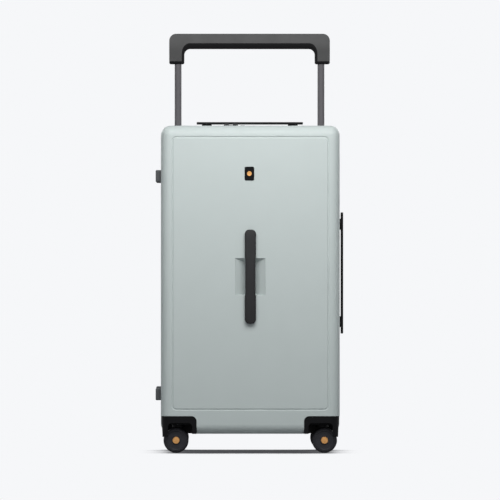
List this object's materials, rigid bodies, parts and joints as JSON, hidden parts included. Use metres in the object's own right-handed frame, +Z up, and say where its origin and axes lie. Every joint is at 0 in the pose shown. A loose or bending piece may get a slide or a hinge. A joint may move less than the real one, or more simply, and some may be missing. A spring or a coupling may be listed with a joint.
{
  "type": "hard-sided suitcase",
  "caption": "Upright hard-shell trunk suitcase with a zip-closed hinged lid, wide telescopic trolley handle, carry handles, combination lock and swivelling twin-wheel casters.",
  "frame": {"origin": "on the floor under the middle of the object's bounding box", "axes": "+X to the right seen from the front, -Y towards the front panel, +Z up"},
  "size_m": [0.433, 0.384, 0.9686],
  "materials": {
    "shell": "matt moulded polycarbonate, fine grain, sage grey",
    "black_plastic": "moulded black nylon, fine spark texture",
    "charcoal_plastic": "moulded charcoal grey ABS, satin",
    "tyre": "black polyurethane tread on a dark grey hub",
    "tube_metal": "gunmetal anodised, drawn",
    "steel": "zinc plated steel",
    "dial_plastic": "black with white figures",
    "zip_metal": "dark painted zinc casting",
    "zip_tape": "woven polyester zip tape",
    "lining": "woven polyester lining, dark grey",
    "strap": "woven webbing with moulded buckles"
  },
  "bodies": {
    "rear_case": {"rear_shell": "shell", "rear_zipper_tape": "zip_tape", "hinge_tape": "zip_tape", "rear_left_wheel_housing": "black_plastic", "rear_right_wheel_housing": "black_plastic", "rear_feet": "charcoal_plastic", "rear_screws": "steel", "trolley_wells": "black_plastic", "trolley_tube_shoes": "black_plastic", "trolley_outer_tubes": "tube_metal", "top_handle_guides": "black_plastic", "top_handle_springs": "steel", "side_handle_guides": "black_plastic", "side_handle_springs": "steel", "lock_body": "black_plastic", "lock_dial_axle": "steel", "rear_lining": "lining", "packing_straps": "strap"},
    "lid": {"front_shell": "shell", "lid_zipper_tape": "zip_tape", "front_left_wheel_housing": "black_plastic", "front_right_wheel_housing": "black_plastic", "front_grip": "charcoal_plastic", "badge_plate": "black_plastic", "lid_feet": "charcoal_plastic", "lid_screws": "steel", "lid_lining": "lining", "lid_pocket": "lining"},
    "trolley_middle": {"trolley_middle_tubes": "tube_metal"},
    "trolley_inner": {"trolley_inner_tubes": "tube_metal", "trolley_grip": "charcoal_plastic"},
    "trolley_release": {"release_button": "charcoal_plastic", "release_rods": "tube_metal"},
    "top_handle": {"top_handle_bar": "black_plastic"},
    "side_handle": {"side_handle_bar": "black_plastic"},
    "lock_button": {"lock_button": "dial_plastic"},
    "key_cylinder": {"key_cylinder": "steel"},
    "lock_dial_1": {"lock_dial_1": "dial_plastic"},
    "lock_dial_2": {"lock_dial_2": "dial_plastic"},
    "lock_dial_3": {"lock_dial_3": "dial_plastic"},
    "zipper_slider_left": {"zipper_slider_left": "zip_metal"},
    "zipper_pull_left": {"zipper_pull_left": "zip_metal"},
    "zipper_slider_right": {"zipper_slider_right": "zip_metal"},
    "zipper_pull_right": {"zipper_pull_right": "zip_metal"},
    "front_left_caster": {"front_left_caster_fork": "black_plastic", "front_left_caster_pins": "steel"},
    "front_left_wheel_a": {"front_left_wheel_a": "tyre"},
    "front_left_wheel_b": {"front_left_wheel_b": "tyre"},
    "front_right_caster": {"front_right_caster_fork": "black_plastic", "front_right_caster_pins": "steel"},
    "front_right_wheel_a": {"front_right_wheel_a": "tyre"},
    "front_right_wheel_b": {"front_right_wheel_b": "tyre"},
    "rear_left_caster": {"rear_left_caster_fork": "black_plastic", "rear_left_caster_pins": "steel"},
    "rear_left_wheel_a": {"rear_left_wheel_a": "tyre"},
    "rear_left_wheel_b": {"rear_left_wheel_b": "tyre"},
    "rear_right_caster": {"rear_right_caster_fork": "black_plastic", "rear_right_caster_pins": "steel"},
    "rear_right_wheel_a": {"rear_right_wheel_a": "tyre"},
    "rear_right_wheel_b": {"rear_right_wheel_b": "tyre"}
  },
  "joints": [
    {"name": "lid_hinge", "type": "hinge", "parent": "rear_case", "child": "lid", "pos_m": [-0.20455, -0.068, 0.4], "axis": [0, 0, -1], "range_deg": [0, 160], "deforming": ["hinge_tape"]},
    {"name": "trolley_middle_slide", "type": "slide", "parent": "rear_case", "child": "trolley_middle", "axis": [0, 0, 1], "range_m": [0, 0.14]},
    {"name": "trolley_inner_slide", "type": "slide", "parent": "trolley_middle", "child": "trolley_inner", "axis": [0, 0, 1], "range_m": [-0.166, 0]},
    {"name": "release_press", "type": "slide", "parent": "trolley_inner", "child": "trolley_release", "axis": [0, 0, -1], "range_m": [0, 0.005], "stiffness_N_per_m": 600, "springref_m": -0.005},
    {"name": "top_handle_lift", "type": "slide", "parent": "rear_case", "child": "top_handle", "axis": [0, 0, 1], "range_m": [0, 0.022], "stiffness_N_per_m": 200, "springref_m": -0.005, "deforming": ["top_handle_springs"]},
    {"name": "side_handle_lift", "type": "slide", "parent": "rear_case", "child": "side_handle", "axis": [1, 0, 0], "range_m": [0, 0.022], "stiffness_N_per_m": 200, "springref_m": -0.005, "deforming": ["side_handle_springs"]},
    {"name": "lock_button_slide", "type": "slide", "parent": "rear_case", "child": "lock_button", "axis": [-1, 0, 0], "range_m": [0, 0.006], "stiffness_N_per_m": 150, "springref_m": -0.002},
    {"name": "key_turn", "type": "hinge", "parent": "rear_case", "child": "key_cylinder", "pos_m": [-0.06955, -0.028, 0.745], "axis": [0, 0, 1], "range_deg": [0, 90]},
    {"name": "lock_dial_1_turn", "type": "hinge", "parent": "rear_case", "child": "lock_dial_1", "pos_m": [-0.05155, -0.028, 0.7455], "axis": [1, 0, 0], "continuous": true},
    {"name": "lock_dial_2_turn", "type": "hinge", "parent": "rear_case", "child": "lock_dial_2", "pos_m": [-0.04355, -0.028, 0.7455], "axis": [1, 0, 0], "continuous": true},
    {"name": "lock_dial_3_turn", "type": "hinge", "parent": "rear_case", "child": "lock_dial_3", "pos_m": [-0.03555, -0.028, 0.7455], "axis": [1, 0, 0], "continuous": true},
    {"name": "zipper_left_slide", "type": "slide", "parent": "rear_case", "child": "zipper_slider_left", "axis": [1, 0, 0], "range_m": [-0.1, 0]},
    {"name": "zipper_left_pull_flip", "type": "hinge", "parent": "zipper_slider_left", "child": "zipper_pull_left", "pos_m": [-0.05355, -0.068, 0.7544], "axis": [1, 0, 0], "range_deg": [0, 150]},
    {"name": "zipper_right_slide", "type": "slide", "parent": "rear_case", "child": "zipper_slider_right", "axis": [1, 0, 0], "range_m": [0, 0.2]},
    {"name": "zipper_right_pull_flip", "type": "hinge", "parent": "zipper_slider_right", "child": "zipper_pull_right", "pos_m": [-0.03355, -0.068, 0.7544], "axis": [1, 0, 0], "range_deg": [0, 150]},
    {"name": "front_left_swivel", "type": "hinge", "parent": "lid", "child": "front_left_caster", "pos_m": [-0.16425, -0.1397, 0.064], "axis": [0, 0, 1], "continuous": true},
    {"name": "front_left_wheel_a_roll", "type": "hinge", "parent": "front_left_caster", "child": "front_left_wheel_a", "pos_m": [-0.16975, -0.1482, 0.0288], "axis": [0, 1, 0], "continuous": true},
    {"name": "front_left_wheel_b_roll", "type": "hinge", "parent": "front_left_caster", "child": "front_left_wheel_b", "pos_m": [-0.16975, -0.1312, 0.0288], "axis": [0, 1, 0], "continuous": true},
    {"name": "front_right_swivel", "type": "hinge", "parent": "lid", "child": "front_right_caster", "pos_m": [0.16515, -0.1397, 0.064], "axis": [0, 0, 1], "continuous": true},
    {"name": "front_right_wheel_a_roll", "type": "hinge", "parent": "front_right_caster", "child": "front_right_wheel_a", "pos_m": [0.17065, -0.1482, 0.0288], "axis": [0, 1, 0], "continuous": true},
    {"name": "front_right_wheel_b_roll", "type": "hinge", "parent": "front_right_caster", "child": "front_right_wheel_b", "pos_m": [0.17065, -0.1312, 0.0288], "axis": [0, 1, 0], "continuous": true},
    {"name": "rear_left_swivel", "type": "hinge", "parent": "rear_case", "child": "rear_left_caster", "pos_m": [-0.16425, 0.1517, 0.064], "axis": [0, 0, 1], "continuous": true},
    {"name": "rear_left_wheel_a_roll", "type": "hinge", "parent": "rear_left_caster", "child": "rear_left_wheel_a", "pos_m": [-0.16975, 0.1432, 0.0288], "axis": [0, 1, 0], "continuous": true},
    {"name": "rear_left_wheel_b_roll", "type": "hinge", "parent": "rear_left_caster", "child": "rear_left_wheel_b", "pos_m": [-0.16975, 0.1602, 0.0288], "axis": [0, 1, 0], "continuous": true},
    {"name": "rear_right_swivel", "type": "hinge", "parent": "rear_case", "child": "rear_right_caster", "pos_m": [0.16515, 0.1517, 0.064], "axis": [0, 0, 1], "continuous": true},
    {"name": "rear_right_wheel_a_roll", "type": "hinge", "parent": "rear_right_caster", "child": "rear_right_wheel_a", "pos_m": [0.17065, 0.1432, 0.0288], "axis": [0, 1, 0], "continuous": true},
    {"name": "rear_right_wheel_b_roll", "type": "hinge", "parent": "rear_right_caster", "child": "rear_right_wheel_b", "pos_m": [0.17065, 0.1602, 0.0288], "axis": [0, 1, 0], "continuous": true}
  ]
}
